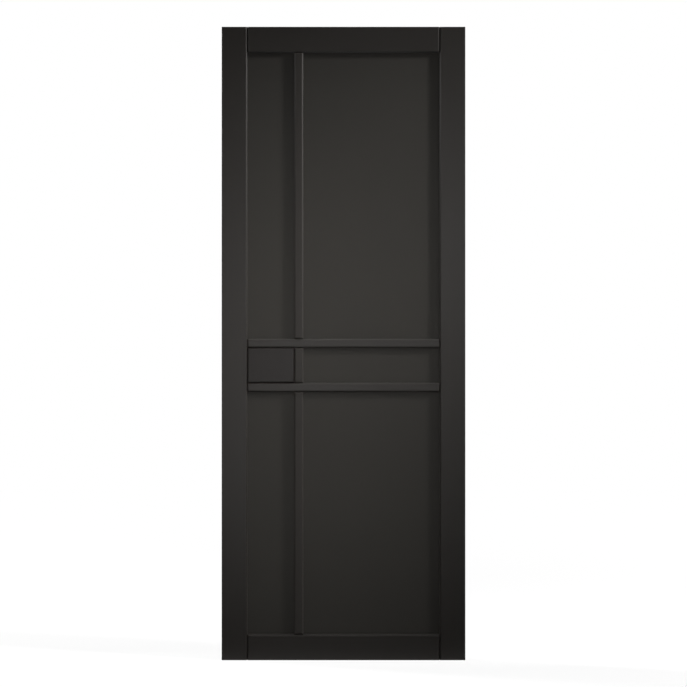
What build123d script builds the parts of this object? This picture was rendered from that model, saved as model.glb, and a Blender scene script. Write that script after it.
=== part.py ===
from build123d import *
import os

# Size of the leaf
leaf_width = 762.0
leaf_height = 1981.0
leaf_thickness = 35.0

# Widths of the members as seen from the front
stile_width = 80.0
rail_width = 80.0
bar_width = 28.0

# Clear openings that set out the bars, from the lock stile and from the top rail
narrow_opening_width = 147.0
upper_opening_height = 896.0
middle_opening_height = 110.0

# Arrises: V-joint bevels, their softened corners and the eased rim of the leaf
edge_bevel = 4.0
bevel_softening = 1.0
rim_easing = 0.8

# Panels and the grooves that hold them
panel_thickness = 12.0
groove_depth = 7.0
panel_face_clearance = 0.1
panel_edge_clearance = 0.5

# Stub tenons and the tongue of the lock block
tenon_face_clearance = 0.05
tenon_end_clearance = 0.5

# Dowels that hold the rails and the bars to the stiles
rail_dowel_diameter = 12.0
rail_dowel_length = 120.0
rail_dowel_shares = (0.28, 0.68)
bar_dowel_diameter = 8.0
bar_dowel_length = 60.0
dowel_point = 1.2
dowel_clearance = 0.05
dowel_end_gap = 1.0

# Setting out, with the origin at the middle of the bottom edge
half_width = leaf_width / 2
stile_inside = half_width - stile_width
rail_length = leaf_width - 2 * stile_width
wide_opening_width = rail_length - narrow_opening_width - bar_width
muntin_x = -stile_inside + narrow_opening_width + bar_width / 2
narrow_middle_x = -stile_inside + narrow_opening_width / 2
wide_middle_x = stile_inside - wide_opening_width / 2
bottom_rail_top = rail_width
top_rail_bottom = leaf_height - rail_width
upper_bar_top = top_rail_bottom - upper_opening_height
upper_bar_bottom = upper_bar_top - bar_width
lower_bar_top = upper_bar_bottom - middle_opening_height
lower_bar_bottom = lower_bar_top - bar_width
lower_opening_height = lower_bar_bottom - bottom_rail_top
upper_bar_z = upper_bar_top - bar_width / 2
lower_bar_z = lower_bar_top - bar_width / 2
upper_opening_z = top_rail_bottom - upper_opening_height / 2
middle_opening_z = upper_bar_bottom - middle_opening_height / 2
lower_opening_z = lower_bar_bottom - lower_opening_height / 2

# Fits
groove_width = panel_thickness + 2 * panel_face_clearance
tenon_thickness = groove_width - 2 * tenon_face_clearance
tenon_length = groove_depth - tenon_end_clearance

# Directions a member can lie in: its own +X is the edge that faces the opening, its own Z its length
left_upright = Plane(origin=(0, 0, 0), x_dir=(1, 0, 0), z_dir=(0, 0, 1))
right_upright = Plane(origin=(0, 0, 0), x_dir=(-1, 0, 0), z_dir=(0, 0, 1))
edge_up = Plane(origin=(0, 0, 0), x_dir=(0, 0, 1), z_dir=(1, 0, 0))
edge_down = Plane(origin=(0, 0, 0), x_dir=(0, 0, -1), z_dir=(1, 0, 0))


def all_round(edges):
    """Every edge of a face."""
    return edges


def opening_edge(edges):
    """The edge of a face along the opening."""
    return edges.group_by(Axis.X)[-1]


def all_but_rim(edges):
    """Every edge of a face except the one on the rim of the leaf."""
    return edges - edges.group_by(Axis.X)[0]


def bevelled(width, length, chosen):
    """Length of timber with softened bevels on the chosen edges of both faces."""
    timber = Box(width, leaf_thickness, length)
    timber = chamfer(chosen(timber.faces().filter_by(Axis.Y).edges()), edge_bevel)
    return fillet(chosen(timber.faces().filter_by(Axis.Y).edges()), bevel_softening)


def groove(length, width):
    """Panel groove for the +X edge of a member of the given width."""
    return Pos((width - groove_depth) / 2, 0, 0) * Box(groove_depth, groove_width, length)


def dowel(diameter, length):
    """Dowel along Z with pointed ends."""
    pin = Cylinder(diameter / 2, length)
    return chamfer(pin.edges().filter_by(GeomType.CIRCLE), dowel_point)


def dowel_hole(diameter, length):
    """Bore along Z that leaves glue space round a dowel and past its ends."""
    return Cylinder(diameter / 2 + dowel_clearance, length + 2 * dowel_end_gap)


def rail(plane):
    """Rail with one grooved edge and a stub tenon at each end."""
    tenon_width = rail_width - groove_depth
    tenons = Box(tenon_width, tenon_thickness, rail_length + 2 * tenon_length)
    timber = bevelled(rail_width, rail_length, all_but_rim)
    timber += Pos(-groove_depth / 2, 0, 0) * tenons
    timber -= groove(rail_length, rail_width)
    return plane * timber


def bar(length, plane):
    """Bar grooved along both edges with a stub tenon at each end."""
    tenon_width = bar_width - 2 * groove_depth
    timber = bevelled(bar_width, length, all_round)
    timber += Box(tenon_width, tenon_thickness, length + 2 * tenon_length)
    timber -= groove(length, bar_width)
    timber -= right_upright * groove(length, bar_width)
    return plane * timber


def stile(plane):
    """Full height stile with one groove along its inner edge."""
    timber = bevelled(stile_width, leaf_height, opening_edge)
    timber -= groove(leaf_height, stile_width)
    return plane * timber


def panel(opening_width, opening_height):
    """Flat panel that stands on the floor of its lower groove."""
    width = opening_width + 2 * (groove_depth - panel_edge_clearance)
    height = opening_height + 2 * groove_depth - panel_edge_clearance
    return Pos(0, 0, -panel_edge_clearance / 2) * Box(width, panel_thickness, height)


def lock_block(opening_width, opening_height):
    """Solid block bevelled on all sides, with a tongue for the grooves round it."""
    block = bevelled(opening_width, opening_height, all_round)
    tongue_width = opening_width + 2 * tenon_length
    tongue_height = opening_height + 2 * tenon_length
    return block + Box(tongue_width, tenon_thickness, tongue_height)


# Dowels stand across the joints between the stiles and the rails and bars
rail_dowel_heights = []
for share in rail_dowel_shares:
    rail_dowel_heights.append(leaf_height - share * rail_width)
    rail_dowel_heights.append(share * rail_width)
joints = (-stile_inside, stile_inside)
rail_joints = [Pos(x, 0, z) * edge_up.location for x in joints for z in rail_dowel_heights]
bar_joints = [Pos(x, 0, z) * edge_up.location for x in joints for z in (upper_bar_z, lower_bar_z)]
rail_dowels = [place * dowel(rail_dowel_diameter, rail_dowel_length) for place in rail_joints]
bar_dowels = [place * dowel(bar_dowel_diameter, bar_dowel_length) for place in bar_joints]
dowel_holes = [place * dowel_hole(rail_dowel_diameter, rail_dowel_length) for place in rail_joints]
dowel_holes += [place * dowel_hole(bar_dowel_diameter, bar_dowel_length) for place in bar_joints]

# The rim of the glued leaf is eased all round on both faces
rim = Box(leaf_width, leaf_thickness, leaf_height)
rim = chamfer(rim.faces().filter_by(Axis.Y).edges(), rim_easing)
rim = Pos(0, 0, leaf_height / 2) * rim

# The outer frame and the bars, bored for the dowels, with the lock block between the bars
stile_x = half_width - stile_width / 2
block = lock_block(narrow_opening_width, middle_opening_height)
nodes = {
    "lock_stile": (Pos(-stile_x, 0, leaf_height / 2) * stile(left_upright) & rim) - dowel_holes,
    "hinge_stile": (Pos(stile_x, 0, leaf_height / 2) * stile(right_upright) & rim) - dowel_holes,
    "top_rail": (Pos(0, 0, leaf_height - rail_width / 2) * rail(edge_down) & rim) - dowel_holes,
    "bottom_rail": (Pos(0, 0, rail_width / 2) * rail(edge_up) & rim) - dowel_holes,
    "upper_bar": Pos(0, 0, upper_bar_z) * bar(rail_length, edge_up) - dowel_holes,
    "lower_bar": Pos(0, 0, lower_bar_z) * bar(rail_length, edge_up) - dowel_holes,
    "lock_block": Pos(narrow_middle_x, 0, middle_opening_z) * block,
    "rail_dowels": Compound(children=rail_dowels),
    "bar_dowels": Compound(children=bar_dowels),
}

# One length of the muntin and the panels beside it at each level of the leaf
levels = {
    "upper": (upper_opening_z, upper_opening_height),
    "middle": (middle_opening_z, middle_opening_height),
    "lower": (lower_opening_z, lower_opening_height),
}
for level, (middle_z, height) in levels.items():
    nodes[f"{level}_muntin"] = Pos(muntin_x, 0, middle_z) * bar(height, left_upright)
    nodes[f"{level}_right_panel"] = Pos(wide_middle_x, 0, middle_z) * panel(wide_opening_width, height)
    if level != "middle":
        nodes[f"{level}_left_panel"] = Pos(narrow_middle_x, 0, middle_z) * panel(narrow_opening_width, height)

os.makedirs("parts", exist_ok=True)
for name, shape in nodes.items():
    export_step(shape, f"parts/{name}.step")
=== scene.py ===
"""Looks of the panelled door leaf: satin charcoal paint, bare dowels, a white studio and the camera."""

import logging
import math
from dataclasses import dataclass, field, replace
from enum import Enum
from typing import Any, Optional, Union

import bpy
import numpy as np
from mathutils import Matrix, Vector


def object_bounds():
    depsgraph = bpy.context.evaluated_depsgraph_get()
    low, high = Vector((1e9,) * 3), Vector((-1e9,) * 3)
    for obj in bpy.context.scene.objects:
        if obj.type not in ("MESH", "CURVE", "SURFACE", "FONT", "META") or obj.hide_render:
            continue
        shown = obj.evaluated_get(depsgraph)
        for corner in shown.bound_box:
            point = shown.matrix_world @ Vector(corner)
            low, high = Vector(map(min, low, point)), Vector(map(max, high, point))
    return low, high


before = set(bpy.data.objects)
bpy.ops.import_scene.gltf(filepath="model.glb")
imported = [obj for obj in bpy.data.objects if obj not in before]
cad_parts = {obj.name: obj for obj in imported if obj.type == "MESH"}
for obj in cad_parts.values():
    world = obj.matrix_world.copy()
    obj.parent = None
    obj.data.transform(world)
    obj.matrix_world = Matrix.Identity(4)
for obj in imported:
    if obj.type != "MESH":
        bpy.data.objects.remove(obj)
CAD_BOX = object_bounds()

LOG = logging.getLogger("door_leaf")
MILLIMETRE = 0.001
AXES = 3
# Factor that mixes two colours in equal parts
EVEN_MIX = 0.5
# Farthest that a pattern is moved along each axis, in metres
PATTERN_REACH = 5.0

Point = tuple[float, float, float]
Colour = tuple[float, float, float]
Value = Union["Wire", float]

WHITE: Colour = (1.0, 1.0, 1.0)


def opaque(colour: Colour) -> tuple[float, float, float, float]:
    """A colour with full alpha."""
    return (*colour, 1.0)


class Wire:
    """An output socket that can stand in a sum, a difference, a product or a quotient."""

    def __init__(self, sheet: "NodeSheet", socket: bpy.types.NodeSocket) -> None:
        """Keeps the socket and the sheet of nodes that it is on.

        Args:
            sheet: The sheet that further nodes go on.
            socket: The output socket.
        """
        self.sheet = sheet
        self.socket = socket

    def _maths(self, operation: str, first: Value, second: Value) -> "Wire":
        """Adds one Math node.

        Args:
            operation: The Math node's operation.
            first: Its first value or link.
            second: Its second value or link.

        Returns:
            The node's output.
        """
        return self.sheet.node("ShaderNodeMath", {"operation": operation}, {0: first, 1: second})

    def __add__(self, other: Value) -> "Wire":
        """This value plus another."""
        return self._maths("ADD", self, other)

    def __radd__(self, other: Value) -> "Wire":
        """Another value plus this one."""
        return self._maths("ADD", other, self)

    def __sub__(self, other: Value) -> "Wire":
        """This value less another."""
        return self._maths("SUBTRACT", self, other)

    def __rsub__(self, other: Value) -> "Wire":
        """Another value less this one."""
        return self._maths("SUBTRACT", other, self)

    def __mul__(self, other: Value) -> "Wire":
        """This value times another."""
        return self._maths("MULTIPLY", self, other)

    def __rmul__(self, other: Value) -> "Wire":
        """Another value times this one."""
        return self._maths("MULTIPLY", other, self)

    def __truediv__(self, other: Value) -> "Wire":
        """This value over another."""
        return self._maths("DIVIDE", self, other)

    def __rtruediv__(self, other: Value) -> "Wire":
        """Another value over this one."""
        return self._maths("DIVIDE", other, self)

    def or_more(self, other: Value) -> "Wire":
        """The larger of this value and another."""
        return self._maths("MAXIMUM", self, other)


class NodeSheet:
    """The node tree of one material or of the world, filled node by node."""

    MIX_FACTOR, MIX_FIRST, MIX_SECOND, MIX_RESULT = 0, 6, 7, 2
    NOISE_MEAN = 0.5

    def __init__(self, owner: Union[bpy.types.Material, bpy.types.World]) -> None:
        """Clears the owner's tree down to its output node.

        Args:
            owner: The material or world that the nodes belong to.
        """
        owner.use_nodes = True
        self.tree = owner.node_tree
        for node in list(self.tree.nodes):
            if not node.bl_idname.startswith("ShaderNodeOutput"):
                self.tree.nodes.remove(node)
        self.end = self.tree.nodes[0]

    def node(
        self,
        kind: str,
        settings: Optional[dict[str, Any]] = None,
        sockets: Optional[dict[Union[str, int], Any]] = None,
        output: Union[str, int] = 0,
    ) -> Wire:
        """Adds a node.

        Args:
            kind: The node's type.
            settings: Its settings, which are set first.
            sockets: The values or links of its input sockets, by name or number.
            output: The output socket that is wanted.

        Returns:
            That output.
        """
        made = self.tree.nodes.new(kind)
        for name, setting in (settings or {}).items():
            setattr(made, name, setting)
        for name, given in (sockets or {}).items():
            if isinstance(given, Wire):
                self.tree.links.new(given.socket, made.inputs[name])
            else:
                made.inputs[name].default_value = given
        return Wire(self, made.outputs[output])

    def mix_colours(self, factor: Value, first: Colour, second: Colour) -> Wire:
        """Goes from one colour to another.

        Args:
            factor: 0 gives the first colour and 1 the second.
            first: The first colour.
            second: The second colour.

        Returns:
            The mixed colour.
        """
        sockets = {self.MIX_FACTOR: factor, self.MIX_FIRST: opaque(first), self.MIX_SECOND: opaque(second)}
        return self.node("ShaderNodeMix", {"data_type": "RGBA"}, sockets, self.MIX_RESULT)

    def noise(self, place: Wire, size: float, detail: float, roughness: float = 0.5) -> Wire:
        """Soft noise about zero.

        Args:
            place: The coordinates that it follows.
            size: The width of one lump, in metres.
            detail: How many finer layers it has.
            roughness: How strong the finer layers are.

        Returns:
            A value from about -0.5 to 0.5.
        """
        sockets = {"Vector": place, "Scale": 1.0 / size, "Detail": detail, "Roughness": roughness}
        return self.node("ShaderNodeTexNoise", {}, sockets) - self.NOISE_MEAN

    def place(self, shift: Point, stretch: Point) -> Wire:
        """Object coordinates, shifted and then stretched.

        Args:
            shift: How far the pattern is moved, in metres.
            stretch: Scale along each axis, where less than 1 draws the pattern out.

        Returns:
            The coordinates.
        """
        here = self.node("ShaderNodeTexCoord", {}, {}, "Object")
        return self.node("ShaderNodeMapping", {}, {"Vector": here, "Location": shift, "Scale": stretch})

    def distance(self) -> Wire:
        """How far a point is from the object's origin, in metres."""
        here = self.node("ShaderNodeTexCoord", {}, {}, "Object")
        return self.node("ShaderNodeVectorMath", {"operation": "LENGTH"}, {0: here}, "Value")

    def seen(self) -> Wire:
        """1 where a camera, glossy or transmission ray looks, and 0 for the rest."""
        camera = self.node("ShaderNodeLightPath", {}, {}, "Is Camera Ray")
        glossy = self.node("ShaderNodeLightPath", {}, {}, "Is Glossy Ray")
        through = self.node("ShaderNodeLightPath", {}, {}, "Is Transmission Ray")
        return camera.or_more(glossy).or_more(through)

    def show(self, surface: Wire) -> None:
        """Links a shader to the output.

        Args:
            surface: The finished shader.
        """
        self.tree.links.new(surface.socket, self.end.inputs["Surface"])


class Grain(Enum):
    """Way that the fibres of a piece run, as the stretch of their pattern along X, Y and Z."""

    UPRIGHT = (1.0, 1.0, 0.03)
    ACROSS = (0.03, 1.0, 1.0)
    NONE = (1.0, 1.0, 1.0)


@dataclass(frozen=True)
class SatinPaint:
    """Sprayed satin paint: an even dark coat with a fine stipple and, on timber, a trace of the grain."""

    name: str
    deep: Colour
    pale: Colour
    roughness: float
    specular: float
    drift_size: float = 0.30
    drift_detail: float = 2.0
    drift_share: float = 0.9
    drift_gloss: float = 0.10
    fibre_size: float = 1.8 * MILLIMETRE
    fibre_detail: float = 3.0
    fibre_roughness: float = 0.6
    fibre_share: float = 0.7
    fibre_height: float = 0.5
    stipple_size: float = 1.1 * MILLIMETRE
    stipple_detail: float = 1.5
    stipple_height: float = 0.6
    stipple_gloss: float = 0.16
    relief: float = 0.03 * MILLIMETRE

    def material(self, piece: str, grain: Grain, shift: Point) -> bpy.types.Material:
        """Makes the paint for one piece.

        The tone and the gloss drift slowly over the piece. Fine stipple and faint fibres give the relief.

        Args:
            piece: The name of the piece.
            grain: The way that the fibres run under the paint.
            shift: Moves the pattern, so that it doesn't run on from one piece to the next.

        Returns:
            The material.
        """
        material = bpy.data.materials.new(f"{self.name}_{piece}")
        sheet = NodeSheet(material)
        even = sheet.place(shift, Grain.NONE.value)
        drawn = sheet.place(shift, grain.value)
        drift = sheet.noise(even, self.drift_size, self.drift_detail)
        stipple = sheet.noise(even, self.stipple_size, self.stipple_detail)
        fibre = sheet.noise(drawn, self.fibre_size, self.fibre_detail, self.fibre_roughness)
        tone = EVEN_MIX + drift * self.drift_share + fibre * self.fibre_share
        gloss = self.roughness + stipple * self.stipple_gloss + drift * self.drift_gloss
        height = stipple * self.stipple_height + fibre * self.fibre_height
        relief = sheet.node("ShaderNodeBump", {}, {"Distance": self.relief, "Height": height})
        sockets = {
            "Base Color": sheet.mix_colours(tone, self.deep, self.pale),
            "Roughness": gloss,
            "Normal": relief,
            "Specular IOR Level": self.specular,
        }
        sheet.show(sheet.node("ShaderNodeBsdfPrincipled", {}, sockets))
        return material


@dataclass(frozen=True)
class BareWood:
    """Unfinished turned hardwood with short dark flecks along the grain."""

    name: str
    deep: Colour
    pale: Colour
    roughness: float = 0.75
    fleck_size: float = 0.9 * MILLIMETRE
    fleck_detail: float = 3.0
    fleck_roughness: float = 0.65
    fleck_share: float = 1.6
    fleck_gloss: float = 0.2
    relief: float = 0.05 * MILLIMETRE

    def material(self, piece: str, grain: Grain, shift: Point) -> bpy.types.Material:
        """Makes the wood for one piece.

        Args:
            piece: The name of the piece.
            grain: The way that the fibres run.
            shift: Moves the pattern.

        Returns:
            The material.
        """
        material = bpy.data.materials.new(f"{self.name}_{piece}")
        sheet = NodeSheet(material)
        drawn = sheet.place(shift, grain.value)
        fleck = sheet.noise(drawn, self.fleck_size, self.fleck_detail, self.fleck_roughness)
        relief = sheet.node("ShaderNodeBump", {}, {"Distance": self.relief, "Height": fleck})
        sockets = {
            "Base Color": sheet.mix_colours(EVEN_MIX + fleck * self.fleck_share, self.deep, self.pale),
            "Roughness": self.roughness + fleck * self.fleck_gloss,
            "Normal": relief,
        }
        sheet.show(sheet.node("ShaderNodeBsdfPrincipled", {}, sockets))
        return material


Finish = Union[SatinPaint, BareWood]

TIMBER_PAINT = SatinPaint(
    name="charcoal_on_timber",
    deep=(0.0177, 0.0158, 0.0141),
    pale=(0.0225, 0.0200, 0.0179),
    roughness=0.40,
    specular=0.125,
)
MUNTIN_PAINT = SatinPaint(
    name="charcoal_on_muntin",
    deep=(0.0198, 0.0177, 0.0158),
    pale=(0.0252, 0.0224, 0.0200),
    roughness=0.50,
    specular=0.125,
)
BLOCK_PAINT = SatinPaint(
    name="charcoal_on_block",
    deep=(0.0136, 0.0118, 0.0108),
    pale=(0.0174, 0.0150, 0.0138),
    roughness=0.45,
    specular=0.125,
)
PANEL_PAINT = SatinPaint(
    name="charcoal_on_board",
    deep=(0.0229, 0.0210, 0.0182),
    pale=(0.0291, 0.0268, 0.0232),
    roughness=0.60,
    specular=0.15,
    fibre_share=0.0,
    fibre_height=0.0,
)
BEECH = BareWood(name="bare_beech", deep=(0.46, 0.31, 0.18), pale=(0.70, 0.53, 0.35))


@dataclass
class Assembly:
    """CAD nodes that share a finish, each with the way its grain runs."""

    finish: Finish
    grains: dict[str, Grain]
    seed: int

    def dress(self) -> None:
        """Gives each node its own material, with its pattern moved by a seeded draw."""
        draw = np.random.default_rng(self.seed)
        shifts = draw.uniform(-PATTERN_REACH, PATTERN_REACH, (len(self.grains), AXES))
        for (piece, grain), shift in zip(self.grains.items(), shifts):
            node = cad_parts[piece]
            node.data.materials.clear()
            node.data.materials.append(self.finish.material(piece, grain, tuple(shift)))
            LOG.info("%s dressed in %s", piece, self.finish.name)


@dataclass
class OuterFrame(Assembly):
    """The stiles and rails round the leaf."""

    finish: Finish = TIMBER_PAINT
    seed: int = 11
    grains: dict[str, Grain] = field(
        default_factory=lambda: {
            "lock_stile": Grain.UPRIGHT,
            "hinge_stile": Grain.UPRIGHT,
            "top_rail": Grain.ACROSS,
            "bottom_rail": Grain.ACROSS,
        }
    )


@dataclass
class Bars(Assembly):
    """The two slim bars across the leaf."""

    finish: Finish = TIMBER_PAINT
    seed: int = 23
    grains: dict[str, Grain] = field(
        default_factory=lambda: {"upper_bar": Grain.ACROSS, "lower_bar": Grain.ACROSS}
    )


@dataclass
class Muntins(Assembly):
    """The three lengths of the slim upright, a little more matt than the frame."""

    finish: Finish = MUNTIN_PAINT
    seed: int = 31
    grains: dict[str, Grain] = field(
        default_factory=lambda: {
            "upper_muntin": Grain.UPRIGHT,
            "middle_muntin": Grain.UPRIGHT,
            "lower_muntin": Grain.UPRIGHT,
        }
    )


@dataclass
class LockBlock(Assembly):
    """The solid block beside the lock stile."""

    finish: Finish = BLOCK_PAINT
    seed: int = 29
    grains: dict[str, Grain] = field(default_factory=lambda: {"lock_block": Grain.UPRIGHT})


@dataclass
class Panels(Assembly):
    """The flat board panels."""

    finish: Finish = PANEL_PAINT
    seed: int = 37
    grains: dict[str, Grain] = field(
        default_factory=lambda: {
            "upper_left_panel": Grain.NONE,
            "upper_right_panel": Grain.NONE,
            "middle_right_panel": Grain.NONE,
            "lower_left_panel": Grain.NONE,
            "lower_right_panel": Grain.NONE,
        }
    )


@dataclass
class Dowels(Assembly):
    """The dowels inside the joints."""

    finish: Finish = BEECH
    seed: int = 41
    grains: dict[str, Grain] = field(
        default_factory=lambda: {"rail_dowels": Grain.ACROSS, "bar_dowels": Grain.ACROSS}
    )


@dataclass(frozen=True)
class Lamp:
    """A flat softbox, out of the camera's sight, with its power in watts and its spread in degrees."""

    name: str
    place: Point
    aim: Point
    sides: tuple[float, float]
    power: float
    spread: float = 180.0

    def turned(self) -> "Lamp":
        """The same lamp on the other side of the leaf, half a turn about its upright middle."""
        x, y, z = self.place
        aim_x, aim_y, aim_z = self.aim
        return replace(self, name=f"back_{self.name}", place=(-x, -y, z), aim=(-aim_x, -aim_y, aim_z))

    def hang(self) -> None:
        """Adds the lamp to the scene, turned to its aim."""
        light = bpy.data.lights.new(self.name, "AREA")
        light.shape = "RECTANGLE"
        light.size, light.size_y = self.sides
        light.energy = self.power
        light.spread = math.radians(self.spread)
        lamp = bpy.data.objects.new(self.name, light)
        lamp.visible_camera = False
        lamp.location = self.place
        towards = Vector(self.aim) - Vector(self.place)
        lamp.rotation_euler = towards.to_track_quat("-Z", "Y").to_euler()
        bpy.context.scene.collection.objects.link(lamp)
        LOG.info("lamp %s", self.name)


# Lamps on the side that the camera sees: a key from high on the right, soft light from the front, and light
# from the sides, above and below along the edges and bevels. Each has its place, aim, sides and power, and
# its spread where that is narrow.
LAMPS = (
    Lamp("key", (5.9, -1.65, 4.6), (0.0, 0.0, 1.3), (0.6, 0.9), 18.5, 28.0),
    Lamp("wide_front", (0.0, -3.6, 1.2), (0.0, 0.0, 1.1), (2.0, 2.0), 2.3, 60.0),
    Lamp("mid_front", (0.0, -3.6, 1.2), (0.0, 0.0, 1.15), (0.6, 0.6), 1.0, 40.0),
    Lamp("upper_front", (0.6, -3.6, 1.8), (0.25, 0.0, 1.4), (0.6, 0.6), 0.45, 35.0),
    Lamp("lower_front", (-0.6, -3.6, 0.7), (-0.3, 0.0, 0.85), (0.6, 0.6), 0.14, 25.0),
    Lamp("low_front", (0.0, -3.2, 0.3), (0.0, 0.0, 0.3), (0.5, 0.5), 0.2, 26.0),
    Lamp("right_front", (2.6, -2.9, 1.6), (0.1, 0.0, 1.25), (0.8, 0.8), 0.8, 35.0),
    Lamp("low_left_front", (-0.9, -3.2, 0.4), (-0.33, 0.0, 0.35), (0.5, 0.5), 0.055, 18.0),
    Lamp("high_left_front", (-0.6, -2.3, 3.4), (-0.25, 0.0, 0.85), (0.6, 0.6), 0.95, 24.0),
    Lamp("right_edge", (4.2, -0.25, 1.0), (0.0, 0.0, 1.0), (0.8, 0.8), 10.0),
    Lamp("left_edge", (-4.2, -0.25, 2.6), (0.0, 0.0, 1.6), (0.8, 0.8), 48.0),
    Lamp("over_edge", (0.0, -0.12, 3.2), (0.0, 0.0, 1.0), (0.7, 0.15), 8.5),
    Lamp("under_edge", (0.0, -0.45, 0.06), (0.0, 0.0, 1.5), (0.7, 0.1), 0.17, 30.0),
)


class Side(Enum):
    """Side of the leaf, as the sign of Y there. The camera sees the front."""

    FRONT = -1.0
    BACK = 1.0


@dataclass
class Studio:
    """White surroundings of the leaf.

    A pale floor lies under it, dark cloths keep the white out of its flat faces, and the lamps and the world
    light it.
    """

    floor_half: float = 5.0
    floor_cells: int = 10
    floor_colour: Colour = (0.15, 0.15, 0.15)
    near_glow: Colour = (0.855, 0.855, 0.855)
    far_glow: Colour = WHITE
    glow_reach: float = 1.4
    sky_glow: float = 1.0
    ambient: float = 0.10
    cloth_distance: float = 8.0
    cloth_middle: float = 1.0
    cloth_turn: float = math.radians(50.0)
    cloth_lift: float = math.radians(85.0)
    cloth_cells: int = 24
    cloth_colour: Colour = (0.02, 0.02, 0.02)
    ground_gap: float = 0.10
    ground_lift: float = 0.003

    def build(self) -> None:
        """Builds the floor, the cloths, the lamps and the world, in that order."""
        self._floor()
        for side in Side:
            self._hung_cloth(side)
            self._ground_cloth(side)
        for lamp in LAMPS:
            lamp.hang()
            lamp.turned().hang()
        self._world()

    def _floor(self) -> None:
        """A flat grid at floor level, white to the camera, that keeps the object's shadow.

        The lamps light it most near the leaf, so its own glow is lower there and rises to white further out.
        The share of the near glow is 1 / (1 + (distance / reach) squared).
        """
        run = np.linspace(-self.floor_half, self.floor_half, self.floor_cells + 1)
        x, y = np.meshgrid(run, run, indexing="ij")
        floor = surface("floor", np.stack([x, y, np.zeros_like(x)], axis=-1))
        material = bpy.data.materials.new("pale_floor")
        sheet = NodeSheet(material)
        matt = sheet.node("ShaderNodeBsdfDiffuse", {}, {"Color": opaque(self.floor_colour)})
        far = sheet.distance() / self.glow_reach
        glow_colour = sheet.mix_colours(1.0 / (1.0 + far * far), self.far_glow, self.near_glow)
        glow = sheet.node("ShaderNodeEmission", {}, {"Color": glow_colour, "Strength": sheet.seen()})
        sheet.show(sheet.node("ShaderNodeAddShader", {}, {0: matt, 1: glow}))
        floor.data.materials.append(material)

    def _hung_cloth(self, side: Side) -> None:
        """A cloth that bellies away from the leaf.

        Every point lies at one distance from the middle, in the direction (tan turn, side, tan lift).

        Args:
            side: The side of the leaf that it hangs on.
        """
        turn = np.linspace(-self.cloth_turn, self.cloth_turn, self.cloth_cells + 1)
        lift = np.linspace(-self.cloth_turn, self.cloth_lift, self.cloth_cells + 1)
        x, z = np.meshgrid(np.tan(turn), np.tan(lift), indexing="ij")
        way = np.stack([x, np.full_like(x, side.value), z], axis=-1)
        way /= np.linalg.norm(way, axis=-1, keepdims=True)
        points = self.cloth_distance * way + (0.0, 0.0, self.cloth_middle)
        self._darken(surface(f"{side.name.lower()}_cloth", points))

    def _ground_cloth(self, side: Side) -> None:
        """A flat cloth just over the floor, from close to the leaf to below the hung cloth.

        Args:
            side: The side of the leaf that it lies on.
        """
        across = np.linspace(-self.cloth_distance, self.cloth_distance, self.cloth_cells + 1)
        away = side.value * np.linspace(self.ground_gap, self.cloth_distance, self.cloth_cells + 1)
        x, y = np.meshgrid(across, away, indexing="ij")
        points = np.stack([x, y, np.full_like(x, self.ground_lift)], axis=-1)
        self._darken(surface(f"{side.name.lower()}_ground_cloth", points))

    def _darken(self, cloth: bpy.types.Object) -> None:
        """Makes a cloth dark, out of the camera's sight and without a shadow.

        Args:
            cloth: The cloth.
        """
        cloth.visible_camera = False
        cloth.visible_shadow = False
        material = bpy.data.materials.new(cloth.name)
        sheet = NodeSheet(material)
        sheet.show(sheet.node("ShaderNodeBsdfDiffuse", {}, {"Color": opaque(self.cloth_colour)}))
        cloth.data.materials.append(material)

    def _world(self) -> None:
        """White where it is looked at, and a low even light everywhere else."""
        world = bpy.data.worlds.new("studio")
        bpy.context.scene.world = world
        sheet = NodeSheet(world)
        strength = self.ambient + sheet.seen() * (self.sky_glow - self.ambient)
        sheet.show(sheet.node("ShaderNodeBackground", {}, {"Strength": strength, "Color": opaque(WHITE)}))


def surface(name: str, grid: np.ndarray) -> bpy.types.Object:
    """Makes a mesh from a grid of points, with one four-sided face for each cell.

    Args:
        name: The name of the object.
        grid: Points of shape (rows, columns, 3), in metres.

    Returns:
        The object, in the scene.
    """
    rows, columns, _ = grid.shape
    index = np.arange(rows * columns).reshape(rows, columns)
    corners = (index[:-1, :-1], index[1:, :-1], index[1:, 1:], index[:-1, 1:])
    faces = np.stack([corner.ravel() for corner in corners], axis=-1)
    mesh = bpy.data.meshes.new(name)
    mesh.from_pydata(grid.reshape(-1, AXES).tolist(), [], faces.tolist())
    made = bpy.data.objects.new(name, mesh)
    bpy.context.scene.collection.objects.link(made)
    return made


@dataclass
class Camera:
    """A long lens, square on to the leaf at half its height, framed as the photograph is."""

    distance: float = 4.5
    sensor: float = 36.0
    picture_side: float = 687.0
    leaf_in_picture: float = 633.5

    def stand(self) -> None:
        """Adds the camera, with a lens that gives the leaf its height in the picture."""
        low, high = CAD_BOX
        view_side = (high.z - low.z) * self.picture_side / self.leaf_in_picture
        data = bpy.data.cameras.new("camera")
        data.sensor_width = self.sensor
        data.lens = self.sensor * self.distance / view_side
        camera = bpy.data.objects.new("camera", data)
        middle = (low + high) / 2.0
        camera.location = (middle.x, low.y - self.distance, middle.z)
        camera.rotation_euler = (math.pi / 2.0, 0.0, 0.0)
        bpy.context.scene.collection.objects.link(camera)
        bpy.context.scene.camera = camera
        LOG.info("camera with a %.1f mm lens", data.lens)


def main() -> None:
    """Dresses the leaf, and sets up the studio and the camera."""
    logging.basicConfig(level=logging.INFO, format="%(name)s: %(message)s")
    bpy.context.scene.view_settings.view_transform = "Standard"
    Camera().stand()
    for assembly in (OuterFrame(), Bars(), Muntins(), LockBlock(), Panels(), Dowels()):
        assembly.dress()
    Studio().build()


if __name__ == "__main__":
    main()
